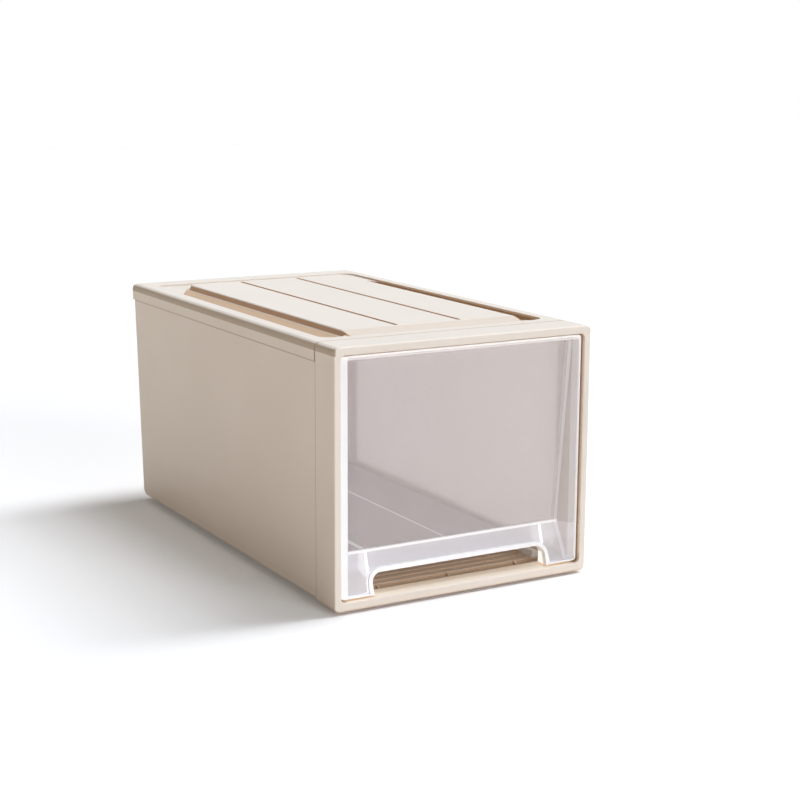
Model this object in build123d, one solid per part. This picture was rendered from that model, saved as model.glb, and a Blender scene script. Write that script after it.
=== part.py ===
from build123d import *
from math import radians, tan
import os

# Stackable plastic storage box with one drawer.
# Millimetres, +Z up, the drawer opens towards -Y, the origin is under the middle of the box.
# Depths ("how far in") are measured back from the front of the case. Heights are measured from the underside
# of the front frame, which stands on low pads: the finished pieces are lifted by the pads' height.

# The case as a whole
case_width = 255.0
case_depth = 453.0
case_height = 224.0
casing_wall = 2.4
edge_round = 5.0
fit = 0.2
seam = 0.5
tongue = 1.6
tongue_length = 8.0

# Front frame
frame_depth = 34.5
stile_width = 6.2
lintel_height = 7.0
sill_height = 7.8
sill_depth = 22.0
sill_round = 2.0
ledge_depth = 30.0
opening_corner = 4.0
frame_edge = 1.1
opening_edge = 1.0
frame_back_edge = 0.7
gusset_margin = 17.0
gusset_thickness = 1.8
gusset_length = 6.0
gusset_height = 2.4
stop_lip_drop = 4.5
stop_lip_thickness = 3.0
stop_lip_margin = 26.3
pad_height = 2.5
pad_diameter = 14.0
pad_side_margin = 20.0
pad_distance_in = 15.0
pad_root = 1.0
pad_edge = 0.6

# Top cover
skirt_height = 16.0
cover_corner = 6.0
rim_width = 15.3
recess_front = 49.0
recess_rear_margin = 31.0
recess_drop = 1.7
recess_corner = 12.0
pocket_corner = 11.0
panel_rise = 3.0
panel_front = 47.0
panel_rear_margin = 57.0
panel_side_margin = 38.5
panel_side_run = 1.8
panel_slope_run = 14.0
panel_corner = 8.0
panel_edge = 1.2
trough_drop = 6.0
trough_rear_slant = 42.0
groove_spacing = 64.0
groove_width = 3.2
groove_depth = 1.6
groove_front_margin = 2.5
groove_rear_margin = 6.0
cover_tongue_margin = 24.0

# Side, back and base panels
panel_inset = 0.8
panel_bottom = 3.8
rear_overhang = 6.5
rear_lean = 13.0
rear_corner = 6.5
panel_outer_edge = 1.0
flange_width = 9.0
flange_thickness = 1.6
side_tongue_margin = 24.0
back_wall = 2.4
back_setback = 1.4
back_rib_thickness = 1.6
back_rib_height = 3.0
back_border = 16.0
back_field_drop = 0.8
base_wall = 1.8
floor_rib_margin = 1.0
floor_rib_pitch = 10.5
floor_rib_width = 5.0
floor_rib_height = 1.4
floor_rib_round = 0.6

# Runner rails and rear feet
rail_margin = 9.0
rail_height = 5.9
rail_width = 6.0
rail_foot_width = 10.0
rail_foot_thickness = 1.6
rail_rear_gap = 6.0
rail_stop_height = 9.0
rail_stop_length = 4.0
rail_edge = 1.0
rail_peg_diameter = 4.0
foot_diameter = 26.0
foot_side_margin = 41.5
foot_rear_margin = 48.0
foot_peg_diameter = 8.0
foot_edge = 1.0

# Drawer front
drawer_setback = 3.6
drawer_reveal = 1.1
drawer_corner = 3.4
rim_edge = 2.0
rim_round = 0.8
rim_depth = 9.0
mouth_drop = 2.6
mouth_side = 6.2
mouth_top = 2.0
mouth_corner = 4.0
mouth_draft = 28.0
mouth_top_draft = 17.0
funnel_depth = 24.0
window_wall = 2.2
window_depth_top = 2.8
window_depth_bottom = 12.2
window_sill_height = 45.0
leg_width = 32.2
arch_top = 26.6
arch_corner = 9.0
arch_lip = 3.9
arch_lip_proud = 1.0
arch_lip_round = 0.6
tunnel_depth = 13.4
tunnel_wall = 2.6
tunnel_shoulder_low = 21.0
tunnel_shoulder_high = 26.0
tunnel_shoulder_depth = 24.4
socket_depth = 8.0
socket_wall = 1.6

# Drawer tub
glide_gap = 0.3
tub_wall = 2.0
tub_top_gap = 8.5
tub_top_side_gap = 14.0
tub_bottom_side_gap = 21.5
tub_bottom_round = 3.5
tub_rear_lean = 9.0
ramp_length = 66.0
step_side_margin = 63.0
step_rise = 1.2
step_end_margin = 6.0
lip_width = 3.5
lip_thickness = 2.2
lug_width = 16.0
lug_margin = 31.0
lug_overlap = 3.0
lug_thickness = 3.0

# Values that follow from the sizes above
half_width = case_width / 2
outer_skin = casing_wall
slot = tongue + 2 * fit
tongue_outer = half_width - outer_skin - fit
tongue_inner = tongue_outer - tongue
panel_outer = half_width - panel_inset
body_front = frame_depth + seam
skirt_bottom = case_height - skirt_height
cover_underside = case_height - casing_wall
rear_top = case_depth - rear_overhang
rear_bottom = rear_top - rear_lean
opening_half = half_width - stile_width
opening_top = case_height - lintel_height
base_bottom = panel_bottom + flange_thickness
base_top = base_bottom + base_wall
stop_lip_half = opening_half - stop_lip_margin
stop_lip_bottom = opening_top - stop_lip_drop
sill_nose = min(sill_round, sill_height - base_bottom - fit)
ledge_top = sill_height - sill_nose
foot_offset = half_width - foot_side_margin
recess_half = half_width - rim_width
recess_rear = case_depth - recess_rear_margin
panel_rear = case_depth - panel_rear_margin
panel_half = half_width - panel_side_margin
crown_half = panel_half - panel_side_run
crown_front = recess_front + panel_slope_run
crown_rear = panel_rear - panel_side_run
recess_floor = case_height - recess_drop
panel_top = case_height + panel_rise
front_half = opening_half - drawer_reveal
front_bottom = sill_height + drawer_reveal
front_top = opening_top - drawer_reveal
mouth = drawer_setback + mouth_drop
inner_bottom = front_bottom + rim_edge
inner_top = front_top - rim_edge
mouth_half = front_half - rim_edge - mouth_side
window_top = inner_top - mouth_top
arch_half = front_half - leg_width
cut_bottom = front_bottom - 2 * arch_corner
tunnel_rear = drawer_setback + tunnel_depth
tub_floor_bottom = base_top + rail_height + glide_gap
tub_top = front_top - tub_top_gap
tub_top_half = half_width - tub_top_side_gap
tub_bottom_half = half_width - tub_bottom_side_gap
rail_offset = tub_bottom_half - rail_margin
lug_offset = stop_lip_half - lug_margin


def into(distance):
    """Y of the plane that lies this far behind the front of the case."""
    return distance - case_depth / 2


def block(x0, x1, y0, y1, z0, z1):
    """Box between two corners, with y0 and y1 given as distances in from the front."""
    middle = Pos((x0 + x1) / 2, into((y0 + y1) / 2), (z0 + z1) / 2)
    return middle * Box(x1 - x0, y1 - y0, z1 - z0)


def across(points, half):
    """Solid whose side outline is the given (distance in, height) points, carried across the width."""
    outline = Polyline(*[(into(y), z) for y, z in points], close=True)
    return extrude(Plane.YZ * make_face(outline), amount=half, both=True)


def carried_back(sketch, y0, y1):
    """Solid whose front outline is the given (x, height) sketch, carried back from y0 to y1."""
    return extrude(Plane.XZ.offset(-into(y0)) * sketch, amount=y0 - y1)


def front_outline(half, z0, z1, radius):
    """Rounded rectangle seen from the front, centred on the box."""
    return Pos(0, (z0 + z1) / 2) * RectangleRounded(2 * half, z1 - z0, radius)


def plan_outline(half, y0, y1, radius):
    """Rounded rectangle seen from above, centred on the box."""
    return Pos(0, into((y0 + y1) / 2)) * RectangleRounded(2 * half, y1 - y0, radius)


def raised(sketch, z0, z1):
    """Solid whose plan is the given sketch, from height z0 to z1."""
    return extrude(Pos(0, 0, z0) * sketch, amount=z1 - z0)


def rear_line(height):
    """Distance in of the rear edge of the side panels, which leans forward towards the floor."""
    share = (height - panel_bottom) / (cover_underside - panel_bottom)
    return rear_bottom + rear_lean * share


def rear_band(front_offset, rear_offset, z0, z1):
    """Side outline of a band that follows the leaning rear edge, given as offsets in front of it."""
    return [
        (rear_line(z0) - front_offset, z0),
        (rear_line(z0) - rear_offset, z0),
        (rear_line(z1) - rear_offset, z1),
        (rear_line(z1) - front_offset, z1),
    ]


def window_face(height):
    """Distance in of the drawer window's front face, which slopes back towards its lower edge."""
    share = (window_top - height) / (window_top - window_sill_height)
    return drawer_setback + window_depth_top + (window_depth_bottom - window_depth_top) * share


def window_back(height):
    """Distance in of the drawer window's rear face."""
    return window_face(height) + window_wall


def edges_at(solid, axis, y=None, z=None, tolerance=0.01):
    """Straight edges of a solid along an axis, at a distance in and a height."""
    found = solid.edges().filter_by(axis)
    if y is not None:
        found = found.filter_by(lambda e: abs(e.center().Y - into(y)) < tolerance)
    if z is not None:
        found = found.filter_by(lambda e: abs(e.center().Z - z) < tolerance)
    return found


def space_behind_sill():
    """Side outline of what is cut away behind the sill, which is rounded down to a ledge for the base."""
    centre = Vector(into(sill_depth - sill_nose), ledge_top)
    ceiling = sill_height + opening_corner
    nose = ThreePointArc(
        centre + Vector(sill_nose, 0),
        centre + Vector(sill_nose, 0).rotate(Axis.Z, 45),
        centre + Vector(0, sill_nose),
    )
    rest = Polyline(
        centre + Vector(0, sill_nose),
        (centre.X, ceiling),
        (into(frame_depth), ceiling),
        (into(frame_depth), base_bottom),
        (into(ledge_depth), base_bottom),
        (into(ledge_depth), ledge_top),
        centre + Vector(sill_nose, 0),
    )
    return make_face(nose + rest)


def front_frame():
    """Ring that borders the drawer opening, with a sill, a stop lip, slots for the panels and two pads."""
    ring = carried_back(front_outline(half_width, 0, case_height, edge_round), 0, frame_depth)
    opening = front_outline(opening_half, sill_height, opening_top, opening_corner)
    ring -= carried_back(opening, 0, frame_depth)
    ring = fillet(ring.faces().sort_by(Axis.Y)[0].outer_wire().edges(), frame_edge)
    ring = fillet(ring.faces().sort_by(Axis.Y)[0].inner_wires()[0].edges(), opening_edge)
    rear_edges = ring.faces().sort_by(Axis.Y)[-1].outer_wire().edges().filter_by(Axis.Z)
    ring = fillet(rear_edges, frame_back_edge)
    ring -= extrude(Plane.YZ * space_behind_sill(), amount=opening_half, both=True)
    slot_front = frame_depth - tongue_length - fit
    for side in (-1, 1):
        outer = side * (half_width - outer_skin)
        inner = side * (half_width - outer_skin - slot)
        z0 = side_tongue_margin - fit
        z1 = case_height - side_tongue_margin + fit
        ring -= block(min(outer, inner), max(outer, inner), slot_front, frame_depth, z0, z1)
    cover_slot = half_width - cover_tongue_margin + fit
    slot_top = case_height - outer_skin
    ring -= block(-cover_slot, cover_slot, slot_front, frame_depth, slot_top - slot, slot_top)
    lip_front = frame_depth - stop_lip_thickness
    ring += block(-stop_lip_half, stop_lip_half, lip_front, frame_depth, stop_lip_bottom, opening_top)
    gusset = [
        (ledge_depth - gusset_length, ledge_top),
        (ledge_depth - gusset_length, base_bottom),
        (ledge_depth, base_bottom),
        (ledge_depth, ledge_top + gusset_height),
    ]
    for place in (-1, 0, 1):
        ring += Pos(place * (arch_half - gusset_margin), 0, 0) * across(gusset, gusset_thickness / 2)
    pad = Cylinder(pad_diameter / 2, pad_height + pad_root)
    pad = fillet(pad.faces().sort_by(Axis.Z)[0].edges(), pad_edge)
    pad = Pos(half_width - pad_side_margin, into(pad_distance_in), (pad_root - pad_height) / 2) * pad
    return ring + pad + mirror(pad, about=Plane.YZ)


def pocket_outline():
    """Plan of the sunk strip beside the raised panel on the right, round at its front end."""
    middle = Pos((crown_half + recess_half) / 2, into((recess_front + recess_rear) / 2))
    return middle * RectangleRounded(recess_half - crown_half, recess_rear - recess_front, pocket_corner)


def top_cover():
    """Lid with a skirt, a sunk deck inside a flat rim, side troughs and a raised, grooved panel."""
    shell = block(-half_width, half_width, body_front, case_depth, skirt_bottom, case_height)
    shell = fillet(edges_at(shell, Axis.Z, y=case_depth), cover_corner)
    rim_edges = shell.faces().sort_by(Axis.Z)[-1].edges().sort_by(Axis.Y)[1:]
    shell = fillet(rim_edges, edge_round)
    inner_half = half_width - casing_wall
    cavity = block(-inner_half, inner_half, 0, case_depth - casing_wall, 0, cover_underside)
    cavity = fillet(edges_at(cavity, Axis.Z, y=case_depth - casing_wall), cover_corner - casing_wall)
    shell -= cavity
    recess = plan_outline(recess_half, crown_rear - recess_corner, recess_rear, recess_corner)
    recess += pocket_outline() + mirror(pocket_outline(), about=Plane.YZ)
    pan_front = recess_front - casing_wall
    pan_rear = recess_rear + casing_wall
    pan = plan_outline(recess_half + casing_wall, pan_front, pan_rear, recess_corner + casing_wall)
    shell += raised(pan, recess_floor - casing_wall, cover_underside)
    trough_floor = case_height - trough_drop
    tray_rear = crown_rear + casing_wall
    tray = plan_outline(recess_half + casing_wall, pan_front, tray_rear, recess_corner + casing_wall)
    pad = raised(tray, trough_floor - casing_wall, recess_floor)
    inner_edge = panel_half - casing_wall
    pad -= block(-inner_edge, inner_edge, 0, case_depth, 0, case_height)
    shell += pad
    shell -= raised(recess, recess_floor, case_height)
    slope = Polyline(
        (panel_half, recess_floor), (recess_half, recess_floor), (recess_half, trough_floor), close=True
    )
    trough_plan = Polyline(
        (crown_half, into(recess_front)),
        (recess_half, into(recess_front)),
        (recess_half, into(crown_rear - trough_rear_slant)),
        (panel_half, into(crown_rear)),
        (crown_half, into(crown_rear)),
        close=True,
    )
    wedge = carried_back(make_face(slope), recess_front, crown_rear)
    wedge &= raised(pocket_outline(), trough_floor, recess_floor)
    wedge &= raised(make_face(trough_plan), trough_floor, recess_floor)
    shell -= wedge + mirror(wedge, about=Plane.YZ)
    foot = plan_outline(panel_half, panel_front, panel_rear, panel_corner)
    crown = plan_outline(crown_half, panel_front + panel_side_run, crown_rear, panel_corner)
    root = Pos(0, 0, recess_floor - casing_wall / 2) * foot
    deck = loft([root, Pos(0, 0, recess_floor) * foot], ruled=True)
    deck += loft([Pos(0, 0, recess_floor) * foot, Pos(0, 0, panel_top) * crown], ruled=True)
    deck = fillet(deck.faces().sort_by(Axis.Z)[-1].edges(), panel_edge)
    slope_start = case_height - recess_front * panel_rise / panel_slope_run
    below_slope = [
        (0, 0),
        (0, slope_start),
        (crown_front, panel_top),
        (case_depth, panel_top),
        (case_depth, 0),
    ]
    shell += deck & across(below_slope, half_width)
    hollow_half = crown_half - casing_wall
    hollow_front = crown_front + casing_wall
    hollow_rear = crown_rear - casing_wall
    hollow_top = panel_top - casing_wall
    shell -= block(-hollow_half, hollow_half, hollow_front, hollow_rear, 0, hollow_top)
    groove_front = crown_front + groove_front_margin
    groove_rear = crown_rear - groove_rear_margin
    for place in (-0.5, 0.5):
        left = place * groove_spacing - groove_width / 2
        right = left + groove_width
        shell -= block(left, right, groove_front, groove_rear, panel_top - groove_depth, panel_top)
    tongue_half = half_width - cover_tongue_margin
    tongue_top = case_height - outer_skin - fit
    tongue_bottom = tongue_top - tongue
    tongue_front = frame_depth - tongue_length
    root_rear = body_front + casing_wall
    shell += block(-tongue_half, tongue_half, tongue_front, root_rear, tongue_bottom, tongue_top)
    shell += block(-tongue_half, tongue_half, body_front, root_rear, tongue_bottom, cover_underside)
    return shell


def side_panel(side):
    """Flat side wall: its top edge goes up inside the skirt, its front tongue into the frame."""
    visible_top = skirt_bottom - seam
    skin = [
        (body_front, panel_bottom),
        (rear_line(panel_bottom), panel_bottom),
        (rear_line(visible_top), visible_top),
        (body_front, visible_top),
    ]
    skin_middle = (panel_outer + tongue_inner) / 2
    plate = Pos(skin_middle, 0, 0) * across(skin, (panel_outer - tongue_inner) / 2)
    plate = fillet(edges_at(plate, Axis.X, y=rear_bottom, z=panel_bottom), rear_corner)
    outer_edges = plate.faces().sort_by(Axis.X)[-1].edges().sort_by(Axis.Z)[:-1]
    free_edges = outer_edges.filter_by(lambda e: e.center().Y > into(body_front) + fit)
    plate = fillet(free_edges, panel_outer_edge)
    upper = [
        (body_front, skirt_bottom - skirt_height),
        (rear_line(skirt_bottom - skirt_height) - cover_corner, skirt_bottom - skirt_height),
        (rear_line(cover_underside) - cover_corner, cover_underside),
        (body_front, cover_underside),
    ]
    tongue_middle = (tongue_outer + tongue_inner) / 2
    plate += Pos(tongue_middle, 0, 0) * across(upper, tongue / 2)
    plate += block(
        tongue_inner,
        tongue_outer,
        frame_depth - tongue_length,
        body_front + tongue_length,
        side_tongue_margin,
        case_height - side_tongue_margin,
    )
    flange_rear = rear_line(base_bottom) - back_setback - back_wall
    plate += block(
        tongue_inner - flange_width, tongue_inner, body_front, flange_rear, panel_bottom, base_bottom
    )
    rib_bottom = base_top + fit
    rib_middle = tongue_inner - back_rib_height / 2
    for offset in (back_setback - fit - back_rib_thickness, back_setback + back_wall + fit):
        rib = rear_band(offset + back_rib_thickness, max(offset, 0), rib_bottom, cover_underside)
        plate += Pos(rib_middle, 0, 0) * across(rib, back_rib_height / 2)
    return plate if side > 0 else mirror(plate, about=Plane.YZ)


def back_panel():
    """Leaning rear wall that slides down between the ribs of the side panels."""
    half = tongue_inner - fit
    plate = across(rear_band(back_setback + back_wall, back_setback, base_top, cover_underside), half)
    field_bottom = base_top + back_border
    field_top = skirt_bottom - back_border
    field_rear = back_setback - fit
    field = rear_band(back_setback + back_field_drop, field_rear, field_bottom, field_top)
    return plate - across(field, half - back_border)


def rail_pegs():
    """Distances in of the two pegs under each runner rail."""
    return (frame_depth + rail_foot_width * 2, rail_rear() - rail_foot_width * 2)


def rail_rear():
    """Distance in of the rear end of the runner rails."""
    return rear_line(base_top) - back_setback - back_wall - rail_rear_gap


def foot_place():
    """Distance in of the rear feet."""
    return rear_bottom - foot_rear_margin


def base_panel():
    """Floor of the case: a plate on the side flanges and the sill, with cross ribs on top."""
    half = tongue_inner - fit
    rear = rear_line(base_bottom) - back_setback
    plate = block(-half, half, body_front, rear, base_bottom, base_top)
    nose_half = opening_half - fit
    nose_front = ledge_depth + fit
    plate += block(-nose_half, nose_half, nose_front, body_front, base_bottom, base_top)
    rib_half = rail_offset - rail_foot_width / 2 - fit
    first = nose_front + floor_rib_margin
    last = rail_rear() - floor_rib_pitch
    count = int((last - first) / floor_rib_pitch) + 1
    rib_root = base_top - base_wall / 2
    rib = block(-rib_half, rib_half, 0, floor_rib_width, rib_root, base_top + floor_rib_height)
    rib = fillet(rib.faces().sort_by(Axis.Z)[-1].edges().filter_by(Axis.X), floor_rib_round)
    plate += [Pos(0, first + index * floor_rib_pitch, 0) * rib for index in range(count)]
    for side in (-1, 1):
        for place in rail_pegs():
            hole = Cylinder(rail_peg_diameter / 2 + fit, base_wall)
            plate -= Pos(side * rail_offset, into(place), base_bottom + base_wall / 2) * hole
        hole = Cylinder(foot_peg_diameter / 2 + fit, base_wall + 2 * floor_rib_height)
        plate -= Pos(side * foot_offset, into(foot_place()), base_bottom + base_wall / 2) * hole
    return plate


def runner_rail(side):
    """Strip on the case floor that carries one side of the drawer, with a closing stop at its rear."""
    middle = side * rail_offset
    front = frame_depth + fit
    rear = rail_rear()
    top = base_top + rail_height
    rail = block(middle - rail_width / 2, middle + rail_width / 2, front, rear, base_top, top)
    rail = fillet(rail.faces().sort_by(Axis.Z)[-1].edges(), rail_edge)
    foot_half = rail_foot_width / 2
    foot_top = base_top + rail_foot_thickness
    rail += block(middle - foot_half, middle + foot_half, front, rear, base_top, foot_top)
    stop_half = rail_width / 2
    stop_front = rear - rail_stop_length
    rail += block(middle - stop_half, middle + stop_half, stop_front, rear, base_top, rail_stop_top())
    for place in rail_pegs():
        peg = Cylinder(rail_peg_diameter / 2, base_wall)
        rail += Pos(middle, into(place), base_bottom + base_wall / 2) * peg
    return rail


def rear_foot(side):
    """Pad under the case floor that brings the rear level with the front frame."""
    pad = Cylinder(foot_diameter / 2, base_bottom + pad_height)
    pad = fillet(pad.faces().sort_by(Axis.Z)[0].edges(), foot_edge)
    peg = Cylinder(foot_peg_diameter / 2, base_wall)
    pad = Pos(0, 0, (base_bottom - pad_height) / 2) * pad + Pos(0, 0, base_bottom + base_wall / 2) * peg
    return Pos(side * foot_offset, into(foot_place()), 0) * pad


def tub_section(inset, z0, z1):
    """Front outline of the tub: straight sides that widen towards the top, rounded at the floor."""
    def half_at(height):
        share = (height - tub_floor_bottom) / (tub_top - tub_floor_bottom)
        return tub_bottom_half + (tub_top_half - tub_bottom_half) * share - inset

    corners = [(-half_at(z0), z0), (half_at(z0), z0), (half_at(z1), z1), (-half_at(z1), z1)]
    outline = make_face(Polyline(*corners, close=True))
    lower = outline.vertices().sort_by(Axis.Y)[:2]
    return fillet(lower, tub_bottom_round - inset)


def rail_stop_top():
    """Height of the closing stops at the rear of the runner rails."""
    return base_top + rail_height + rail_stop_height


def tub_rear(height):
    """Distance in of the tub's rear face, which leans back towards the top and meets the closing stops."""
    share = (height - rail_stop_top()) / (tub_top - rail_stop_top())
    return rail_rear() - rail_stop_length - glide_gap + tub_rear_lean * share


def ramp_end():
    """Distance in where the ramp behind the finger space reaches the tub's floor."""
    return window_back(window_sill_height) + ramp_length


def drawer_tub():
    """Tapered tub with an open front, a ramp above the finger space, a lip and two stop lugs."""
    above = tub_top + lip_thickness
    outer_side = [
        (window_back(tub_top), tub_top),
        (window_back(window_sill_height), window_sill_height),
        (ramp_end(), tub_floor_bottom),
        (tub_rear(tub_floor_bottom), tub_floor_bottom),
        (tub_rear(tub_top), tub_top),
    ]
    ramp_top = window_sill_height + tub_wall
    floor_top = tub_floor_bottom + tub_wall
    inner_side = [
        (0, above),
        (0, ramp_top),
        (window_back(ramp_top), ramp_top),
        (ramp_end(), floor_top),
        (tub_rear(floor_top) - tub_wall, floor_top),
        (tub_rear(above) - tub_wall, above),
    ]
    outer = carried_back(tub_section(0, tub_floor_bottom, tub_top), 0, case_depth)
    outer &= across(outer_side, half_width)
    cavity = carried_back(tub_section(tub_wall, floor_top, above), 0, case_depth)
    cavity &= across(inner_side, half_width)
    step_half = tub_bottom_half - step_side_margin
    step_front = ramp_end() + step_end_margin
    step_rear = tub_rear(floor_top) - tub_wall - step_end_margin
    cavity -= block(-step_half, step_half, step_front, step_rear, floor_top, floor_top + step_rise)
    lip_half = tub_top_half + lip_width
    lip_front = window_back(tub_top - lip_thickness) + socket_depth + socket_wall
    lip_rear = tub_rear(tub_top) + lip_width
    tub = outer + block(-lip_half, lip_half, lip_front, lip_rear, tub_top - lip_thickness, tub_top)
    for place in (-1, 1):
        middle = place * lug_offset
        tub += block(
            middle - lug_width / 2,
            middle + lug_width / 2,
            tub_rear(tub_top) - lug_thickness,
            tub_rear(tub_top),
            tub_top - lip_thickness,
            stop_lip_bottom + lug_overlap,
        )
    return tub - cavity


def grip_face(height):
    """Distance in of the slanting grip, which comes forward from the window's lower edge to the foot."""
    share = (height - inner_bottom) / (window_sill_height - inner_bottom)
    return mouth + (window_face(window_sill_height) - mouth) * share


def mouth_space(grow):
    """Space in front of the window: a straight mouth that tapers towards the back, grown outwards."""
    top = window_top + grow
    front = front_outline(mouth_half + grow, cut_bottom, top, mouth_corner)
    side_run = funnel_depth * tan(radians(mouth_draft))
    top_run = funnel_depth * tan(radians(mouth_top_draft))
    rear = front_outline(mouth_half + grow - side_run, cut_bottom, top - top_run, mouth_corner)
    front_plane = Plane.XZ.offset(-into(mouth))
    rear_plane = Plane.XZ.offset(-into(mouth + funnel_depth))
    taper = loft([front_plane * front, rear_plane * rear], ruled=True)
    return carried_back(front, 0, mouth) + taper


def drawer_front():
    """Clear front: a thin rim, a sloping flange, a tapered mouth round the window, a grip with an arch."""
    outline = front_outline(front_half, front_bottom, front_top, drawer_corner)
    inner_outline = front_outline(front_half - rim_edge, inner_bottom, inner_top, drawer_corner - rim_edge)
    rim = carried_back(outline - inner_outline, drawer_setback, drawer_setback + rim_depth)
    rim = fillet(rim.faces().sort_by(Axis.Y)[0].edges(), rim_round)
    flange_front = drawer_setback + rim_round
    rim_outline = front_outline(front_half - rim_edge, cut_bottom, inner_top, drawer_corner - rim_edge)
    mouth_outline = front_outline(mouth_half, cut_bottom, window_top, mouth_corner)
    slope_front = Plane.XZ.offset(-into(flange_front)) * rim_outline
    slope_rear = Plane.XZ.offset(-into(mouth)) * mouth_outline
    flange = carried_back(inner_outline, flange_front, mouth + window_wall)
    flange -= loft([slope_front, slope_rear], ruled=True)
    ahead = [
        (0, front_top),
        (window_face(front_top), front_top),
        (window_face(window_sill_height), window_sill_height),
        (mouth, inner_bottom),
        (0, inner_bottom),
    ]
    behind = [
        (mouth, front_top),
        (window_back(front_top), front_top),
        (window_back(window_sill_height), window_sill_height),
        (mouth + window_wall, inner_bottom),
        (mouth, inner_bottom),
    ]
    skin = mouth_space(window_wall) & across(behind, half_width)
    body = rim + flange + skin + window_plate()
    body -= mouth_space(0) & across(ahead, half_width)
    arch = carried_back(front_outline(arch_half, cut_bottom, arch_top, arch_corner), 0, case_depth)
    body -= arch
    return body + arch_band() + tunnel_wall_plates() + tub_socket()


def window_plate():
    """Sloping window, as wide as the tub behind it with its socket."""
    top = window_top + window_wall
    slab = [
        (window_face(window_sill_height), window_sill_height),
        (window_back(window_sill_height), window_sill_height),
        (window_back(top), top),
        (window_face(top), top),
    ]
    outline = tub_section(-fit - socket_wall, tub_floor_bottom, top)
    return carried_back(outline, 0, case_depth) & across(slab, half_width)


def arch_band():
    """Band round the finger arch: it stands proud of the grip and goes back as a short tunnel."""
    outer_half = arch_half + arch_lip
    outer = front_outline(outer_half, cut_bottom, arch_top + arch_lip, arch_corner + arch_lip)
    inner = front_outline(arch_half, cut_bottom, arch_top, arch_corner)
    side = [
        (drawer_setback, front_bottom),
        (drawer_setback, inner_bottom),
        (grip_face(window_sill_height) - arch_lip_proud, window_sill_height),
        (tunnel_rear, window_sill_height),
        (tunnel_rear, front_bottom),
    ]
    band = carried_back(outer - inner, 0, case_depth) & across(side, half_width)
    fronts = band.faces().filter_by(lambda f: f.normal_at(f.center()).Y < -0.5)
    creases = [e for f in fronts for e in f.edges().filter_by(Axis.X)]
    rims = [e for f in fronts for e in f.edges() if e not in creases or e.center().Z > arch_top - fit]
    return fillet(rims, arch_lip_round)


def tunnel_wall_plates():
    """Two upright plates behind the grip, above the arch, that stay clear of the tub's ramp."""
    shoulder_rear = drawer_setback + tunnel_shoulder_depth
    ramp_fall = (window_sill_height - tub_floor_bottom) / ramp_length
    ramp_clearance = 2 * fit
    top_front = window_sill_height - ramp_clearance
    ramp_run = shoulder_rear - window_back(window_sill_height)
    side = [
        (grip_face(front_bottom) + window_wall / 2, front_bottom),
        (tunnel_rear, front_bottom),
        (tunnel_rear, tunnel_shoulder_low),
        (shoulder_rear, tunnel_shoulder_high),
        (shoulder_rear, top_front - ramp_run * ramp_fall),
        (window_back(window_sill_height), top_front),
        (grip_face(top_front) + window_wall / 2, top_front),
    ]
    plate = across(side, tunnel_wall / 2)
    middle = arch_half + tunnel_wall / 2
    return Pos(-middle, 0, 0) * plate + Pos(middle, 0, 0) * plate


def tub_socket():
    """Collar behind the window that the tub's front edge slides into."""
    lowest = window_sill_height + tub_wall
    outer = carried_back(tub_section(-fit - socket_wall, tub_floor_bottom, tub_top), 0, case_depth)
    inner = carried_back(tub_section(-fit, tub_floor_bottom, tub_top), 0, case_depth)
    collar_side = [
        (window_back(tub_top) - window_wall / 2, tub_top),
        (window_back(lowest) - window_wall / 2, lowest),
        (window_back(lowest) + socket_depth, lowest),
        (window_back(tub_top) + socket_depth, tub_top),
    ]
    return (outer - inner) & across(collar_side, half_width)


parts = {
    "front_frame": front_frame(),
    "top_cover": top_cover(),
    "left_side_panel": side_panel(-1),
    "right_side_panel": side_panel(1),
    "back_panel": back_panel(),
    "base_panel": base_panel(),
    "left_runner_rail": runner_rail(-1),
    "right_runner_rail": runner_rail(1),
    "left_rear_foot": rear_foot(-1),
    "right_rear_foot": rear_foot(1),
    "drawer_tub": drawer_tub(),
    "drawer_front": drawer_front(),
}

os.makedirs("parts", exist_ok=True)
for name, solid in parts.items():
    export_step(Pos(0, 0, pad_height) * solid, f"parts/{name}.step")
    print(name, "solids", len(solid.solids()), "volume", round(solid.volume))
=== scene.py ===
# %% [markdown]
# # A stackable plastic drawer box
# The box is a cream polypropylene casing with one translucent drawer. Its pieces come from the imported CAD
# frame, in metres, with the drawer opening towards -Y. This lesson dresses that frame: camera, floor, light
# and finishes. No piece is added or moved.

# %% Load the frame
import bpy
import numpy as np
from mathutils import Matrix, Vector

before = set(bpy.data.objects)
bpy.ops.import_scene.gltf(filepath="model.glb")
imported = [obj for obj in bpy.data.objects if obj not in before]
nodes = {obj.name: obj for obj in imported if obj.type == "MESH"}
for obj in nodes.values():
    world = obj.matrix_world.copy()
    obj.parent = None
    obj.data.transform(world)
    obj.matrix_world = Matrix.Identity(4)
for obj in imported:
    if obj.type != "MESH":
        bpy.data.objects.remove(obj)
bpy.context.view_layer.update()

# %% [markdown]
# ## Camera
# The photograph looks down at the front left corner with a long lens. The place and the angles below come
# from fitting the box's edges, so the render overlays the photograph without any lens shift.

# %% Camera
IMAGE_SIDE = 800.0
FOCAL_PIXELS = 1658.05
SENSOR_WIDTH = 36.0
CAMERA_PLACE = np.array([-0.73806, -1.39195, 0.45286])
YAW, PITCH, ROLL = 0.52300, 0.20145, -0.00478


def camera_axes(yaw, pitch, roll):
    """Right, up and forward: forward turns by yaw from +Y to +X and dips by pitch, roll turns the picture."""
    forward = np.array([np.sin(yaw) * np.cos(pitch), np.cos(yaw) * np.cos(pitch), -np.sin(pitch)])
    right = np.array([np.cos(yaw), -np.sin(yaw), 0.0])
    down = np.cross(forward, right)
    turned_right = right * np.cos(roll) + down * np.sin(roll)
    turned_down = down * np.cos(roll) - right * np.sin(roll)
    return turned_right, -turned_down, forward


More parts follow.
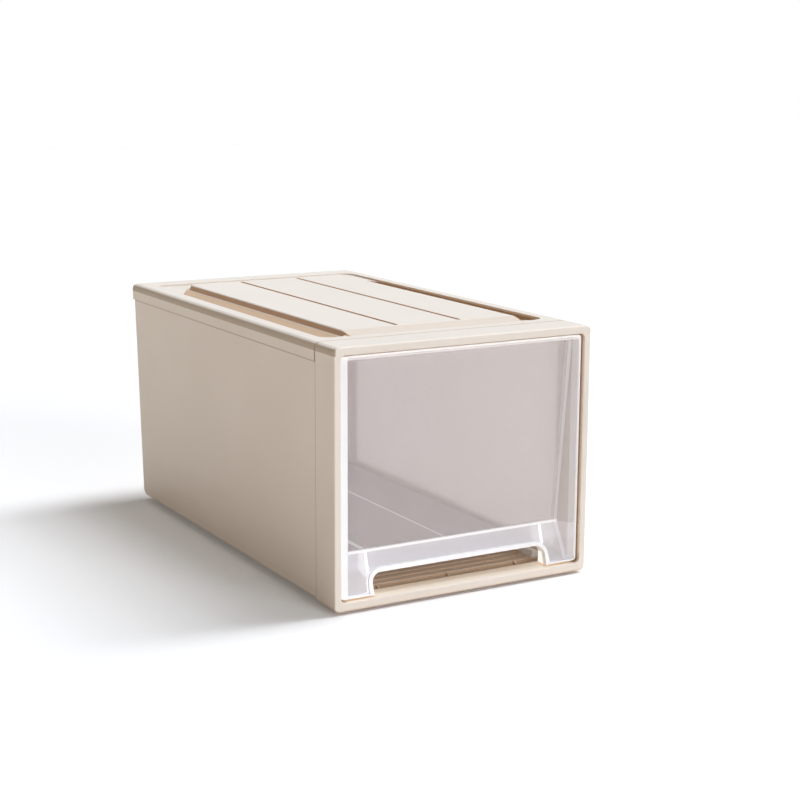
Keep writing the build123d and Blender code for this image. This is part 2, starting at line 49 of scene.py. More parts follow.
right, up, forward = camera_axes(YAW, PITCH, ROLL)
camera_data = bpy.data.cameras.new("photo_camera")
camera_data.sensor_width = SENSOR_WIDTH
camera_data.lens = FOCAL_PIXELS * SENSOR_WIDTH / IMAGE_SIDE
camera = bpy.data.objects.new("photo_camera", camera_data)
bpy.context.scene.collection.objects.link(camera)
pose = np.eye(4)
pose[:3, 0], pose[:3, 1], pose[:3, 2], pose[:3, 3] = right, up, -forward, CAMERA_PLACE
camera.matrix_world = Matrix(pose.tolist())
bpy.context.scene.camera = camera
print("lens", round(camera_data.lens, 2), "mm")

# %% [markdown]
# ## Small tools for shader nodes
# Floor, air and finishes are all made of shader nodes. A few short functions add one node each, so that the
# later cells read like formulas. A value given to them is a number, a colour or another node's socket.

# %% Node helpers
def feed(tree, socket, value):
    """Put a number, a colour or another node's socket into an input."""
    if isinstance(value, bpy.types.NodeSocket):
        tree.links.new(value, socket)
    else:
        socket.default_value = value


def calc(tree, operation, first, second=0.0):
    """One Math node."""
    node = tree.nodes.new("ShaderNodeMath")
    node.operation = operation
    feed(tree, node.inputs[0], first)
    feed(tree, node.inputs[1], second)
    return node.outputs["Value"]


def span(tree, share, low, high):
    """Number that goes from low to high as share goes from 0 to 1."""
    node = tree.nodes.new("ShaderNodeMapRange")
    tree.links.new(share, node.inputs["Value"])
    feed(tree, node.inputs["To Min"], low)
    feed(tree, node.inputs["To Max"], high)
    return node.outputs["Result"]


def blend_color(tree, share, low, high):
    """Colour that goes from low to high as share goes from 0 to 1."""
    node = tree.nodes.new("ShaderNodeMix")
    node.data_type = "RGBA"
    feed(tree, node.inputs["Factor"], share)
    feed(tree, node.inputs["A"], low)
    feed(tree, node.inputs["B"], high)
    return node.outputs["Result"]


print("node helpers", [tool.__name__ for tool in (feed, calc, span, blend_color)])

# %% [markdown]
# ## Rays that look and rays that light
# A studio's floor and air are white to look at, but that white shouldn't flood the box with light. Light Path
# tells the rays apart: a ray that comes from the camera, from a gloss or through clear plastic is looking,
# and any other is on its way to light something.

# %% Looking rays
WHITE = (1.0, 1.0, 1.0, 1.0)


def looking(tree):
    """1 for rays from the camera, from a gloss or through clear plastic, 0 for the rest."""
    path = tree.nodes.new("ShaderNodeLightPath")
    direct = calc(tree, "MAXIMUM", path.outputs["Is Camera Ray"], path.outputs["Is Glossy Ray"])
    return calc(tree, "MAXIMUM", direct, path.outputs["Is Transmission Ray"])


print("white to look at", WHITE[:3])

# %% [markdown]
# ## Floor
# The box stands on a plain white sweep. A large flat plane is enough: it catches the shadow, and it throws
# soft light back up on the sides, which is where most of the light on upright walls comes from in a white
# studio. The floor is a warm white, so that light is warm. A studio picture shows such a floor as pure white,
# so what looking rays see of it is neutral and lifted a little.

# %% Floor
FLOOR_SIZE = 14.0
FLOOR_COLOR = (0.96, 0.87, 0.77, 1.0)
FLOOR_LIFT = 0.10
bpy.ops.mesh.primitive_plane_add(size=FLOOR_SIZE, location=(0.0, 0.0, 0.0))
floor = bpy.context.object
floor.name = "studio_floor"
floor_paint = bpy.data.materials.new("studio_white")
floor_paint.use_nodes = True
paint = floor_paint.node_tree
floor_shader = paint.nodes["Principled BSDF"]
floor_shader.inputs["Roughness"].default_value = 1.0
floor_shader.inputs["Specular IOR Level"].default_value = 0.0
floor_shader.inputs["Emission Color"].default_value = WHITE
seen = looking(paint)
paint.links.new(blend_color(paint, seen, FLOOR_COLOR, WHITE), floor_shader.inputs["Base Color"])
paint.links.new(span(paint, seen, 0.0, FLOOR_LIFT), floor_shader.inputs["Emission Strength"])
floor.data.materials.append(floor_paint)
print("floor", FLOOR_SIZE, "m square")

# %% [markdown]
# ## Light
# In the photograph the shadow falls to the left and fades out slowly, but its sides are crisp. That is a
# strip lamp hanging over the right side, made here of four lamps in a row. A weaker one fills the front from
# the right. The left wall lives on what the floor throws back and on a very weak warm lamp, which is why it
# is darker and warmer than the rest. Distant lamps light every view of the box alike.

# %% Lamps
KEY_TILTS = np.radians([44.0, 53.0, 63.0, 74.0])
KEY_BACK = -0.02
KEY_LAMP = dict(energy=0.64, breadth=0.30, color=(0.97, 1.0, 1.05))
FRONT_LAMP = dict(toward=(0.24, -0.93, 0.27), energy=1.07, breadth=0.50, color=(0.95, 1.03, 1.15))
SIDE_LAMP = dict(toward=(-0.80, -0.60, 0.04), energy=0.30, breadth=0.50, color=(1.0, 0.70, 0.40))


def distant_lamp(name, toward, energy, breadth, color):
    """Lamp very far away in the direction given by the vector toward; breadth is its angle in radians."""
    data = bpy.data.lights.new(name, "SUN")
    data.energy = energy
    data.angle = breadth
    data.color = color
    lamp = bpy.data.objects.new(name, data)
    lamp.rotation_euler = Vector(toward).to_track_quat("Z", "Y").to_euler()
    bpy.context.scene.collection.objects.link(lamp)


for number, tilt in enumerate(KEY_TILTS):
    distant_lamp(f"key_lamp_{number}", (np.cos(tilt), KEY_BACK, np.sin(tilt)), **KEY_LAMP)
distant_lamp("front_lamp", **FRONT_LAMP)
distant_lamp("side_lamp", **SIDE_LAMP)
print("lamps", [lamp.name for lamp in bpy.data.lights])

# %% [markdown]
# The air around the box is white to looking rays, but it lights the box only weakly and a little warmly, so
# that the shadow stays.

# %% Air
AIR_LIGHT = 0.17
AIR_COLOR = (1.0, 0.95, 0.89, 1.0)
world = bpy.data.worlds.new("studio_air")
world.use_nodes = True
air = world.node_tree
background = air.nodes["Background"]
looked_at = looking(air)
air.links.new(blend_color(air, looked_at, AIR_COLOR, WHITE), background.inputs["Color"])
air.links.new(span(air, looked_at, AIR_LIGHT, 1.0), background.inputs["Strength"])
bpy.context.scene.world = world
bpy.context.scene.view_settings.view_transform = "Standard"
print("air lights with", AIR_LIGHT)

# %% [markdown]
# ## Finishes
# Each finish is one Principled shader with a little noise: a slow drift of colour over centimetres, and a
# fine grain as bump. Everything is laid out on Object coordinates, in metres, so it stays with the piece.

# %% Finish helpers
PLASTIC_IOR = 1.49
NOISE_DETAIL = 2.0
GRAIN_DEPTH = 0.0002


def finish(name, roughness):
    """New material with one Principled shader; returns the material, its node tree and the shader."""
    material = bpy.data.materials.new(name)
    material.use_nodes = True
    tree = material.node_tree
    shader = tree.nodes["Principled BSDF"]
    shader.inputs["Roughness"].default_value = roughness
    shader.inputs["IOR"].default_value = PLASTIC_IOR
    return material, tree, shader


def places(tree):
    """Object coordinates as a vector and as its x, y and z sockets."""
    source = tree.nodes.new("ShaderNodeTexCoord")
    split = tree.nodes.new("ShaderNodeSeparateXYZ")
    tree.links.new(source.outputs["Object"], split.inputs["Vector"])
    return source.outputs["Object"], split.outputs["X"], split.outputs["Y"], split.outputs["Z"]


def noise(tree, vector, scale):
    """Noise of the given scale, in cycles per metre, around 0.5."""
    node = tree.nodes.new("ShaderNodeTexNoise")
    tree.links.new(vector, node.inputs["Vector"])
    node.inputs["Scale"].default_value = scale
    node.inputs["Detail"].default_value = NOISE_DETAIL
    return node.outputs["Fac"]


def grain(tree, shader, vector, scale, strength):
    """Fine noise as bump on the shader's normal."""
    node = tree.nodes.new("ShaderNodeBump")
    tree.links.new(noise(tree, vector, scale), node.inputs["Height"])
    node.inputs["Distance"].default_value = GRAIN_DEPTH
    node.inputs["Strength"].default_value = strength
    tree.links.new(node.outputs["Normal"], shader.inputs["Normal"])


print("grain", GRAIN_DEPTH * 1000, "mm deep")

# %% [markdown]
# ### Runners and feet
# These two are the simplest, so they come first. The runner rails are a slippery plastic, a little paler than
# the casing, and the rear feet are soft rubber. Both are hidden in use.

# %% Runners and feet
PLAIN_DRIFT = 25.0
PLAIN_GRAIN = 0.15


def plain_finish(name, low, high, roughness, grain_scale):
    """Colour drifting between low and high over centimetres, with a fine grain."""
    material, tree, shader = finish(name, roughness)
    vector = places(tree)[0]
    color = blend_color(tree, noise(tree, vector, PLAIN_DRIFT), low, high)
    tree.links.new(color, shader.inputs["Base Color"])
    grain(tree, shader, vector, grain_scale, PLAIN_GRAIN)
    return material


runner = plain_finish("runner_plastic", (0.86, 0.84, 0.80, 1.0), (0.90, 0.88, 0.84, 1.0), 0.35, 1500.0)
rubber = plain_finish("foot_rubber", (0.66, 0.63, 0.58, 1.0), (0.72, 0.69, 0.64, 1.0), 0.80, 3000.0)
print("made", runner.name, rubber.name)

# %% [markdown]
# ### Masks
# A mask is a number between 0 and 1 that says where something is. Each one is a product of smooth steps along
# x, y and z. A soft edge of a few tenths of a millimetre keeps it from looking cut out.

# %% Mask helpers
FINE, SOFT, BROAD = 0.0003, 0.0005, 0.0010
LEFT_START, LEFT_FULL = 0.05, -0.05


def smooth_step(tree, value, start, end):
    """Rises smoothly from 0 where value is start to 1 where it is end."""
    node = tree.nodes.new("ShaderNodeMapRange")
    node.interpolation_type = "SMOOTHSTEP"
    feed(tree, node.inputs["Value"], value)
    node.inputs["From Min"].default_value = start
    node.inputs["From Max"].default_value = end
    return node.outputs["Result"]


def inside(tree, value, low, high, soft):
    """1 where value lies between low and high, falling to 0 over the width soft on both sides."""
    rise = smooth_step(tree, value, low - soft, low)
    fall = smooth_step(tree, value, high + soft, high)
    return calc(tree, "MULTIPLY", rise, fall)


def all_of(tree, first, *others):
    """Product of masks and shares: 1 only where every one of them is 1."""
    for other in others:
        first = calc(tree, "MULTIPLY", first, other)
    return first


def any_of(tree, first, *others):
    """The largest of the masks at each place."""
    for other in others:
        first = calc(tree, "MAXIMUM", first, other)
    return first


def left_share(tree, x, right_value, left_value):
    """Number that changes from the right half of the box to the left half, which lies in the shade."""
    return span(tree, smooth_step(tree, x, LEFT_START, LEFT_FULL), right_value, left_value)


print("soft edges", [width * 1000 for width in (FINE, SOFT, BROAD)], "mm")

# %% [markdown]
# ### Cream casing: the top
# The casing is moulded polypropylene, coloured in the mass. Light that gets into a hollow bounces from wall
# to wall and takes on more of the plastic's colour each time, so hollows look tan. Few bounces are rendered,
# so that tan shade is painted into the colour by place. The top has two troughs beside a raised panel,
# deepest at their outer side, and the panel has a front slope, two flanks and two long grooves. Painted shade
# tans the troughs, browner towards their deep outer side, and the front slope, the flanks and the grooves.

# %% Cream casing: the top
SHADE_BROWN = (0.42, 0.27, 0.16, 1.0)
TROUGH_SHADE_TAN = (0.61, 0.42, 0.26, 1.0)
FLANK_SHADE_TAN = (0.64, 0.39, 0.21, 1.0)
DECK_FLOOR, DECK_TOP, PANEL_TOP = 0.2248, 0.2258, 0.2295
TROUGH_INNER, TROUGH_OUTER, TROUGH_SOFT = 0.0868, 0.1124, 0.0004
TROUGH_FRONT, TROUGH_REAR, TROUGH_END = -0.178, 0.168, 0.004
TROUGH_START, TROUGH_FULL = DECK_FLOOR - 0.0001, DECK_FLOOR - 0.0007
DEEP_START, DEEP_FULL, DEEP_SHADE = 0.0990, 0.1020, 0.8
SLOPE_FRONT, SLOPE_REAR, SLOPE_SOFT = -0.1775, -0.1640, 0.0008
SLOPE_HALF, SLOPE_SHADE = 0.0870, 0.3
PANEL_FOOT, FLANK_START, FLANK_FULL = 0.0893, PANEL_TOP - 0.0006, PANEL_TOP - 0.0014
GROOVE_PLACE, GROOVE_HALF, GROOVE_LOW = 0.0320, 0.0021, 0.2238
GROOVE_FRONT, GROOVE_REAR = -0.1608, 0.1618


def paint_shade_top(tree, color, across, y, z):
    """Colour of the casing with painted shade in the troughs, on the panel's front slope and flanks and in
    the grooves.
    """
    along = inside(tree, y, TROUGH_FRONT, TROUGH_REAR, TROUGH_END)
    sunk = all_of(tree, inside(tree, across, TROUGH_INNER, TROUGH_OUTER, TROUGH_SOFT), along,
                  smooth_step(tree, z, TROUGH_START, TROUGH_FULL))
    deep = all_of(tree, smooth_step(tree, across, DEEP_START, DEEP_FULL), DEEP_SHADE)
    # Painted shade in the troughs, browner towards the deep outer side.
    color = blend_color(tree, sunk, color, blend_color(tree, deep, TROUGH_SHADE_TAN, SHADE_BROWN))
    slope = all_of(tree, inside(tree, y, SLOPE_FRONT, SLOPE_REAR, SLOPE_SOFT),
                   smooth_step(tree, across, SLOPE_HALF + BROAD, SLOPE_HALF),
                   inside(tree, z, DECK_FLOOR, PANEL_TOP - FINE, FINE), SLOPE_SHADE)
    # Painted shade on the panel's front slope.
    color = blend_color(tree, slope, color, TROUGH_SHADE_TAN)
    flank = all_of(tree, inside(tree, across, TROUGH_INNER, PANEL_FOOT, FINE), along,
                   smooth_step(tree, z, FLANK_START, FLANK_FULL))
    # Painted shade on the panel's two flanks.
    color = blend_color(tree, flank, color, FLANK_SHADE_TAN)
    beside = calc(tree, "ABSOLUTE", calc(tree, "SUBTRACT", across, GROOVE_PLACE))
    groove = all_of(tree, smooth_step(tree, beside, GROOVE_HALF, GROOVE_HALF - FINE),
                    inside(tree, y, GROOVE_FRONT, GROOVE_REAR, SOFT),
                    smooth_step(tree, z, GROOVE_LOW, DECK_TOP))
    # Painted shade in the grooves.
    return blend_color(tree, groove, color, FLANK_SHADE_TAN)


print("grooves", 2 * GROOVE_PLACE * 1000, "mm apart")

# %% [markdown]
# ### Cream casing: the sides
# Three thin marks of painted shade show on the sides: shade in the upright seam behind the front frame, shade
# in the gap under the lid's skirt, and a darker band of shade under the rounded top edge, painted stronger on
# the left, away from the lamps.

# %% Cream casing: the sides
UNDER_EDGE_SHADE_TAN = (0.46, 0.36, 0.25, 1.0)
WALL_OUTSIDE, OUTER_FACE = 0.1252, 0.1260
SEAM_PLACE, SEAM_HALF, SEAM_SHADE = -0.1917, 0.0009, 0.7
SKIRT_BOTTOM, SKIRT_GAP = 0.2105, 0.0008
BAND_INNER, BAND_LOW, BAND_TOP, BAND_SOFT = 0.1255, 0.2198, 0.2250, 0.0008
BAND_RIGHT, BAND_LEFT = 0.3, 0.9


def paint_shade_sides(tree, color, x, across, y, z):
    """Colour of the casing with painted shade in the seam, in the skirt's gap and in a band under the top
    edge.
    """
    upright = inside(tree, y, SEAM_PLACE - SEAM_HALF, SEAM_PLACE + SEAM_HALF, SOFT)
    gap = all_of(tree, inside(tree, z, SKIRT_BOTTOM - SKIRT_GAP, SKIRT_BOTTOM, FINE),
                 smooth_step(tree, y, SEAM_PLACE - BROAD, SEAM_PLACE))
    joint = all_of(tree, any_of(tree, upright, gap),
                   smooth_step(tree, across, WALL_OUTSIDE, OUTER_FACE), SEAM_SHADE)
    # Painted shade in the seam and in the gap under the skirt.
    color = blend_color(tree, joint, color, SHADE_BROWN)
    band = all_of(tree, smooth_step(tree, across, BAND_INNER, BAND_INNER + BROAD),
                  inside(tree, z, BAND_LOW, BAND_TOP, BAND_SOFT),
                  left_share(tree, x, BAND_RIGHT, BAND_LEFT))
    # Painted shade in the band under the top edge, stronger on the left.
    return blend_color(tree, band, color, UNDER_EDGE_SHADE_TAN)


print("band", round((BAND_TOP - BAND_LOW) * 1000, 1), "mm high")

# %% [markdown]
# ### Cream casing: sill and ribs
# Through the finger arch one sees the sill of the front frame, three small gussets on it and the ribs of the
# floor behind. They lie in the drawer's shade, painted darker and browner the further in they lie, and the
# gussets get painted dark shadows.

# %% Cream casing: sill and ribs
SHADE_TAN = (0.58, 0.38, 0.22, 1.0)
GUSSET_SHADOW = (0.20, 0.11, 0.06, 1.0)
SILL_FRONT, SILL_REAR, SILL_TOP = -0.2230, -0.2040, 0.0125
SILL_HALF, SILL_END, SILL_SHADE = 0.1205, 0.1220, 0.4
INNER_HALF, INNER_END = 0.1150, 0.1160
GUSSET_FRONT, GUSSET_LOW, GUSSET_TOP, GUSSET_SOFT = -0.2160, 0.0107, 0.0135, 0.0002
RIB_FADE, RIB_SHADE = 0.004, 0.5


def low_masks(tree, across, y, z):
    """Masks of the width between the side walls, of the gussets and of the floor ribs."""
    width = smooth_step(tree, across, INNER_END, INNER_HALF)
    gussets = all_of(tree, width, inside(tree, y, GUSSET_FRONT, SILL_REAR, SOFT),
                     inside(tree, z, GUSSET_LOW, GUSSET_TOP, GUSSET_SOFT))
    ribs = all_of(tree, width, smooth_step(tree, y, SILL_REAR, SILL_REAR + RIB_FADE),
                  smooth_step(tree, z, SILL_TOP, SILL_TOP - BROAD))
    return width, gussets, ribs


def paint_shade_low(tree, color, across, y, z, gussets, ribs):
    """Colour of the casing with painted shade on the sill and the ribs, and painted shadow on the gussets."""
    sill = all_of(tree, smooth_step(tree, y, SILL_FRONT, SILL_REAR),
                  smooth_step(tree, across, SILL_END, SILL_HALF),
                  smooth_step(tree, z, SILL_TOP + BROAD, SILL_TOP), SILL_SHADE)
    # Painted shade on the sill.
    color = blend_color(tree, sill, color, SHADE_TAN)
    # Painted shade on the ribs.
    color = blend_color(tree, all_of(tree, ribs, RIB_SHADE), color, SHADE_BROWN)
    # Painted shadow on the gussets.
    return blend_color(tree, gussets, color, GUSSET_SHADOW)


print("sill", round((SILL_REAR - SILL_FRONT) * 1000, 1), "mm deep")

# %% [markdown]
# ### Cream casing: narrow places
# Where the shapes themselves make a narrow hollow, an Ambient Occlusion node finds it: painted shade turns
# the colour to tan where much of the sky above a point is blocked within a few millimetres. The low step
# behind the raised panel is open to the light, so the painted tan is held back there.

# %% Cream casing: narrow places
HOLLOW_REACH, HOLLOW_SAMPLES = 0.008, 8
HOLLOW_CLOSED, HOLLOW_OPEN = 0.40, 0.90
STEP_START, STEP_FULL, STEP_OPENNESS = 0.160, 0.168, 0.8
TOP_START, TOP_FULL = 0.2225, 0.2235


def paint_shade_narrow(tree, color, y, z):
    """Colour of the casing with painted shade that turns narrow hollows to tan."""
    hollow = tree.nodes.new("ShaderNodeAmbientOcclusion")
    hollow.samples = HOLLOW_SAMPLES
    hollow.inputs["Distance"].default_value = HOLLOW_REACH
    rear_step = all_of(tree, smooth_step(tree, y, STEP_START, STEP_FULL),
                       smooth_step(tree, z, TOP_START, TOP_FULL), STEP_OPENNESS)
    openness = any_of(tree, smooth_step(tree, hollow.outputs["AO"], HOLLOW_CLOSED, HOLLOW_OPEN), rear_step)
    # Painted shade: tan where the hollow is closed.
    return blend_color(tree, openness, SHADE_TAN, color)


print("narrow means", HOLLOW_REACH * 1000, "mm")

# %% [markdown]
# ### Cream casing: light inside
# Thin walls let a little of the studio light in, and light that enters by the finger arch is thrown about
# under the drawer. Too few bounces are rendered for that, so the inner faces of the side walls glow coolly,
# and the sill and the nearest ribs glow warmly. The underside and the gussets don't.

# %% Cream casing: light inside
WALL_INSIDE, WALL_SOFT = 0.1150, 0.0004
GLOW_FRONT, GLOW_REAR, GLOW_END = -0.180, 0.194, 0.007
GLOW_LOW, GLOW_TOP, GLOW_FADE = 0.020, 0.205, 0.010
WALL_GLOW, SILL_GLOW, RIB_GLOW = 0.44, 0.24, 0.030
COOL_LIGHT = (0.92, 0.91, 0.94, 1.0)
WARM_LIGHT = (1.0, 0.82, 0.60, 1.0)
SILL_LIT_FRONT, SILL_LIT_SOFT = -0.2240, 0.003
RIBS_LIT, RIBS_DARK = -0.10, -0.08
UNDERSIDE = 0.0088


def light_inside(tree, shader, across, y, z, width, gussets, ribs):
    """Glow of the inner walls, of the sill and of the nearest ribs, as the shader's emission."""
    walls = all_of(tree, inside(tree, across, WALL_INSIDE, WALL_OUTSIDE, WALL_SOFT),
                   inside(tree, y, GLOW_FRONT, GLOW_REAR, GLOW_END),
                   inside(tree, z, GLOW_LOW, GLOW_TOP, GLOW_FADE))
    sill = all_of(tree, inside(tree, y, SILL_LIT_FRONT, SILL_REAR, SILL_LIT_SOFT), width,
                  smooth_step(tree, z, SILL_TOP + BROAD, SILL_TOP), SILL_GLOW)
    near_ribs = all_of(tree, ribs, smooth_step(tree, y, RIBS_DARK, RIBS_LIT), RIB_GLOW)
    low = all_of(tree, any_of(tree, sill, near_ribs), smooth_step(tree, z, UNDERSIDE, UNDERSIDE + SOFT),
                 calc(tree, "SUBTRACT", 1.0, gussets))
    strength = calc(tree, "ADD", all_of(tree, walls, WALL_GLOW), low)
    tree.links.new(blend_color(tree, walls, WARM_LIGHT, COOL_LIGHT), shader.inputs["Emission Color"])
    tree.links.new(strength, shader.inputs["Emission Strength"])


print("glow of walls, sill and ribs", WALL_GLOW, SILL_GLOW, RIB_GLOW)

# %% [markdown]
# ### Cream casing: all together
# The finish starts from a cream that drifts very slightly, takes on the painted shades one after the other,
# gets the painted glow inside, and gets the fine spark texture that makes the plastic satin.

# %% Cream casing
CREAM_LOW = (0.85, 0.778, 0.700, 1.0)
CREAM_HIGH = (0.87, 0.798, 0.720, 1.0)
CREAM_ROUGHNESS, CREAM_DRIFT = 0.46, 9.0
DRIFT_START, DRIFT_FULL = 0.35, 0.65
SPARK_SCALE, SPARK_STRENGTH = 2200.0, 0.12


def cream_casing():
    """Cream plastic with painted tan shade in the hollows, a painted faint glow inside and a satin grain."""
    material, tree, shader = finish("cream_casing", CREAM_ROUGHNESS)
    vector, x, y, z = places(tree)
    across = calc(tree, "ABSOLUTE", x)
    drift = smooth_step(tree, noise(tree, vector, CREAM_DRIFT), DRIFT_START, DRIFT_FULL)
    width, gussets, ribs = low_masks(tree, across, y, z)
    color = blend_color(tree, drift, CREAM_LOW, CREAM_HIGH)
    color = paint_shade_top(tree, color, across, y, z)
    color = paint_shade_sides(tree, color, x, across, y, z)
    color = paint_shade_low(tree, color, across, y, z, gussets, ribs)
    color = paint_shade_narrow(tree, color, y, z)
    tree.links.new(color, shader.inputs["Base Color"])
    light_inside(tree, shader, across, y, z, width, gussets, ribs)
    grain(tree, shader, vector, SPARK_SCALE, SPARK_STRENGTH)
    return material


cream = cream_casing()
print("made", cream.name, "with", len(cream.node_tree.nodes), "nodes")

# %% [markdown]
# ### Drawer: the tub
# The drawer is moulded in clear polypropylene, which is never quite clear: it is milky, and what lies close
# behind it shows through. Alpha lets sight straight through, which suits thin walls. A wall is a solid with
# two faces, so its alpha counts twice. The tub's floor gets little light, so its shade is painted darker, and
# two painted highlights glow along the lines where it is stepped.

# %% Drawer tub
EDGE_WHITE_AND_HIGHLIGHT = (0.985, 0.985, 0.995, 1.0)
DRAWER_DRIFT = 14.0
TUB_ROUGHNESS = 0.45
TUB_LOW, TUB_HIGH = (0.92, 0.88, 0.88, 1.0), (0.95, 0.91, 0.91, 1.0)
TUB_FLOOR_SHADE = (0.45, 0.40, 0.42, 1.0)
FLOOR_TOP, FLOOR_FADE = 0.0192, 0.004
LINE_INNER, LINE_OUTER, LINE_SOFT, LINE_GLOW = 0.0416, 0.0440, 0.0004, 0.25
TUB_VEIL_LOW, TUB_VEIL_HIGH, FLOOR_VEIL = 0.33, 0.37, 0.45


def frosted_tub():
    """Milky tub: see-through walls and a denser floor painted darker as shade, with two glowing painted
    highlight lines.
    """
    material, tree, shader = finish("frosted_tub", TUB_ROUGHNESS)
    vector, x, _, z = places(tree)
    across = calc(tree, "ABSOLUTE", x)
    drift = noise(tree, vector, DRAWER_DRIFT)
    low = smooth_step(tree, z, FLOOR_TOP + FLOOR_FADE, FLOOR_TOP)
    lines = all_of(tree, inside(tree, across, LINE_INNER, LINE_OUTER, LINE_SOFT), low)
    color = blend_color(tree, low, blend_color(tree, drift, TUB_LOW, TUB_HIGH), TUB_FLOOR_SHADE)
    # Painted shade on the tub's floor, and painted highlights on its step lines, which also glow.
    tree.links.new(blend_color(tree, lines, color, EDGE_WHITE_AND_HIGHLIGHT), shader.inputs["Base Color"])
    shader.inputs["Emission Color"].default_value = EDGE_WHITE_AND_HIGHLIGHT
    tree.links.new(all_of(tree, lines, LINE_GLOW), shader.inputs["Emission Strength"])
    veil = calc(tree, "ADD", span(tree, drift, TUB_VEIL_LOW, TUB_VEIL_HIGH), all_of(tree, low, FLOOR_VEIL))
    tree.links.new(veil, shader.inputs["Alpha"])
    return material


frost = frosted_tub()
print("made", frost.name)

# %% [markdown]
# ### Drawer: outline of the front
# Thick places of clear plastic gather light and look white. On the drawer's front that is the rim, the slope
# behind it, the brow along the top and the lip of the finger arch. Their white is partly the thick plastic
# and partly painted highlight, and the slope is painted whiter on the left, where it faces the lamps on the
# right.
# They follow two outlines, an upright shape with round upper corners each, so the distance to such an outline
# is all that is needed.

# %% Drawer front: outline
RIM_HALF, RIM_TOP, RIM_BOTTOM, RIM_CORNER = 0.1202, 0.2184, 0.0114, 0.0034
RIM_WIDTH, RIM_SLOPE, BROW_WIDTH, EDGE_SOFT = 0.0020, 0.0080, 0.0042, 0.0004
RIM_SLOPE_REAR = -0.2136
RIM_SLOPE_RIGHT, RIM_SLOPE_LEFT, BROW_SHARE = 0.25, 0.95, 0.7
ARCH_HALF, ARCH_TOP, ARCH_CORNER, ARCH_LIP = 0.0880, 0.0291, 0.0090, 0.0039


def rounded_distance(tree, across, upward, half, top, corner):
    """Distance outside an upright shape with round upper corners: length of the part beyond the corner
    centres, plus what is left inside, less the corner radius."""
    out_x = calc(tree, "SUBTRACT", across, half - corner)
    out_z = calc(tree, "SUBTRACT", upward, top - corner)
    far_x = calc(tree, "MAXIMUM", out_x, 0.0)
    far_z = calc(tree, "MAXIMUM", out_z, 0.0)
    square = calc(tree, "ADD", calc(tree, "MULTIPLY", far_x, far_x), calc(tree, "MULTIPLY", far_z, far_z))
    near = calc(tree, "MINIMUM", calc(tree, "MAXIMUM", out_x, out_z), 0.0)
    return calc(tree, "SUBTRACT", calc(tree, "ADD", calc(tree, "SQRT", square), near), corner)


def within(tree, distance, width):
    """1 up to the given width from an edge, with a soft end."""
    return smooth_step(tree, distance, width + EDGE_SOFT, width)


def thick_white_and_highlight(tree, x, across, y, z):
    """Mask of the thick places along the rim and the arch: partly thick white plastic, partly painted
    highlight.
    """
    over = rounded_distance(tree, across, z, RIM_HALF, RIM_TOP, RIM_CORNER)
    outside = calc(tree, "MAXIMUM", over, calc(tree, "SUBTRACT", RIM_BOTTOM, z))
    rim = within(tree, calc(tree, "MULTIPLY", outside, -1.0), RIM_WIDTH)
    # Painted highlight on the slope, stronger on the left, which faces the lamps.
    slope = all_of(tree, within(tree, calc(tree, "SUBTRACT", RIM_HALF, across), RIM_SLOPE),
                   smooth_step(tree, y, RIM_SLOPE_REAR, RIM_SLOPE_REAR - BROAD),
                   left_share(tree, x, RIM_SLOPE_RIGHT, RIM_SLOPE_LEFT))
    brow = all_of(tree, within(tree, calc(tree, "SUBTRACT", RIM_TOP, z), BROW_WIDTH), BROW_SHARE)
    to_arch = rounded_distance(tree, across, z, ARCH_HALF, ARCH_TOP, ARCH_CORNER)
    return any_of(tree, rim, slope, brow, within(tree, to_arch, ARCH_LIP))


print("arch", 2 * ARCH_HALF * 1000, "mm wide")

# %% [markdown]
# ### Drawer: bends of the front
# The window ends below in a bend, where the slanting grip begins. Beside the window the mouth's walls taper
# inwards, and behind the grip two plates close off the finger space. The bend and a strip beside the mouth's
# right wall are painted white as highlights. Those plates catch light from below, so they are painted white
# and given a painted glow that shines through the grip.

# %% Drawer front: bends
BEND_HEIGHT, BEND_WIDTH = 0.0477, 0.0010
MOUTH_HALF, MOUTH_PLACE, MOUTH_TAPER = 0.1120, -0.2203, 0.5317
STRIP_WIDTH, STRIP_SOFT, STRIP_SHARE = 0.0034, 0.0006, 0.35
STRIP_START, STRIP_FULL = -0.01, 0.01
GRIP_LEAN, GRIP_BACK = 0.2815, -0.2216
PLATE_INNER, PLATE_OUTER = 0.0879, 0.0907


def front_bends(tree, x, across, y, z):
    """Masks of the grip, of the plates beside the finger space, and of the bend and the wall strip, which get
    painted highlight.
    """
    taper = calc(tree, "MULTIPLY", calc(tree, "SUBTRACT", y, MOUTH_PLACE), MOUTH_TAPER)
    to_wall = calc(tree, "SUBTRACT", calc(tree, "ADD", across, taper), MOUTH_HALF)
    # Painted highlight beside the mouth's right wall.
    strip = all_of(tree, smooth_step(tree, to_wall, -STRIP_WIDTH - STRIP_SOFT, -STRIP_WIDTH),
                   smooth_step(tree, y, MOUTH_PLACE - SOFT, MOUTH_PLACE + SOFT),
                   smooth_step(tree, x, STRIP_START, STRIP_FULL), STRIP_SHARE)
    # Painted highlight along the bend.
    bend = all_of(tree, inside(tree, z, BEND_HEIGHT - BEND_WIDTH, BEND_HEIGHT + BEND_WIDTH, EDGE_SOFT),
                  smooth_step(tree, to_wall, 0.0, -EDGE_SOFT))
    grip = smooth_step(tree, z, BEND_HEIGHT, BEND_HEIGHT - BROAD)
    behind = calc(tree, "SUBTRACT", y, calc(tree, "MULTIPLY", z, GRIP_LEAN))
    plates = all_of(tree, inside(tree, across, PLATE_INNER, PLATE_OUTER, FINE), grip,
                    smooth_step(tree, behind, GRIP_BACK, GRIP_BACK + EDGE_SOFT))
    return grip, plates, any_of(tree, bend, strip)


print("bend", BEND_HEIGHT * 1000, "mm above the floor")
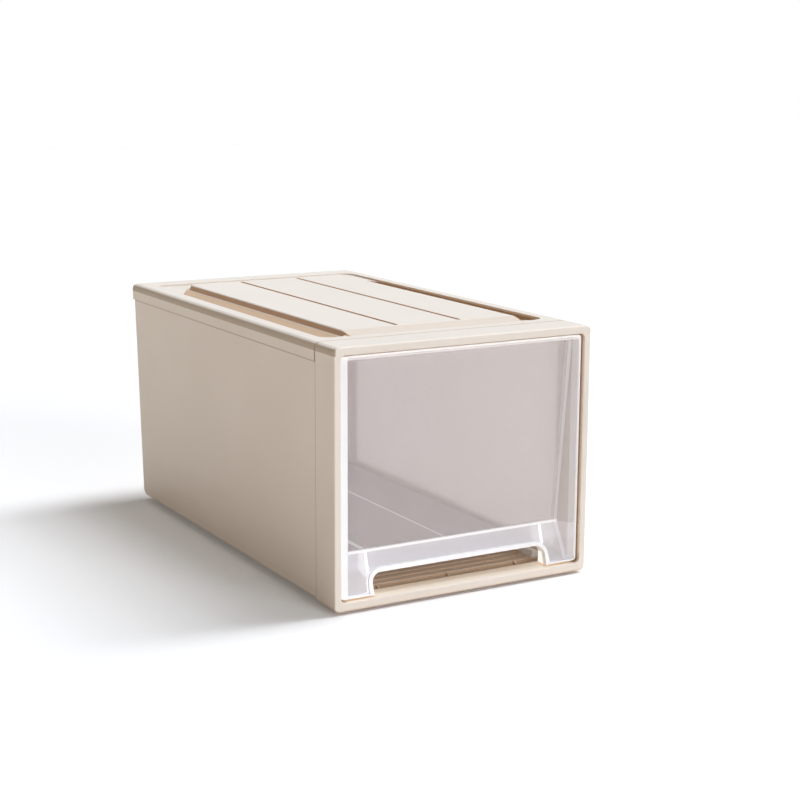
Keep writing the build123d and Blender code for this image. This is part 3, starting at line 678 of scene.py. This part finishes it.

# %% [markdown]
# ### Drawer: the front all together
# Between the white places the front is a pale veil: thin on the window, denser and faintly lavender on the
# grip, and a little thinner again on the two legs beside the arch. The grip's paler colour is partly painted
# light, as it faces up to the lamps. The white places and the plates glow as painted light.

# %% Drawer front
FRONT_ROUGHNESS = 0.25
PANE_LOW, PANE_HIGH = (0.89, 0.835, 0.835, 1.0), (0.91, 0.855, 0.855, 1.0)
GRIP_TINT_AND_LIGHT = (0.94, 0.91, 0.95, 1.0)
EDGE_GLOW, EDGE_FALL, PLATE_GLOW = 0.06, 3.0, 0.50
LEG_FADE, LEG_RISE = 0.004, 0.008
PANE_VEIL_LOW, PANE_VEIL_HIGH, GRIP_VEIL, LEG_VEIL = 0.26, 0.30, 0.28, 0.16


def clear_front():
    """Clear front: a veil to look through, white where the plastic is thick, with painted highlight and glow
    there and on the plates.
    """
    material, tree, shader = finish("clear_front", FRONT_ROUGHNESS)
    vector, x, y, z = places(tree)
    across = calc(tree, "ABSOLUTE", x)
    drift = noise(tree, vector, DRAWER_DRIFT)
    grip, plates, bends = front_bends(tree, x, across, y, z)
    white = any_of(tree, thick_white_and_highlight(tree, x, across, y, z), bends, plates)
    # The grip's paler colour is partly its lavender tint and partly painted light.
    body = blend_color(tree, grip, blend_color(tree, drift, PANE_LOW, PANE_HIGH), GRIP_TINT_AND_LIGHT)
    tree.links.new(blend_color(tree, white, body, EDGE_WHITE_AND_HIGHLIGHT), shader.inputs["Base Color"])
    # Painted light: the white places and the plates glow.
    edge_light = all_of(tree, calc(tree, "POWER", white, EDGE_FALL), EDGE_GLOW)
    glow = calc(tree, "ADD", edge_light, all_of(tree, plates, PLATE_GLOW))
    shader.inputs["Emission Color"].default_value = EDGE_WHITE_AND_HIGHLIGHT
    tree.links.new(glow, shader.inputs["Emission Strength"])
    leg = all_of(tree, smooth_step(tree, across, ARCH_HALF, ARCH_HALF + LEG_FADE),
                 smooth_step(tree, z, ARCH_TOP + LEG_RISE, ARCH_TOP))
    denser = all_of(tree, grip, span(tree, leg, GRIP_VEIL, LEG_VEIL))
    veil = calc(tree, "ADD", span(tree, drift, PANE_VEIL_LOW, PANE_VEIL_HIGH), denser)
    tree.links.new(span(tree, white, veil, 1.0), shader.inputs["Alpha"])
    return material


clear = clear_front()
print("made", clear.name, "with", len(clear.node_tree.nodes), "nodes")

# %% [markdown]
# ## Dressing the pieces
# Every piece of the frame gets one finish, chosen by its name. What isn't drawer, rail or foot is casing.

# %% Dress
dress = {"drawer_tub": frost, "drawer_front": clear}
dress.update({name: runner for name in nodes if "runner_rail" in name})
dress.update({name: rubber for name in nodes if "rear_foot" in name})
for name, node in nodes.items():
    node.data.materials.clear()
    node.data.materials.append(dress.get(name, cream))
print("dressed", len(nodes), "pieces")
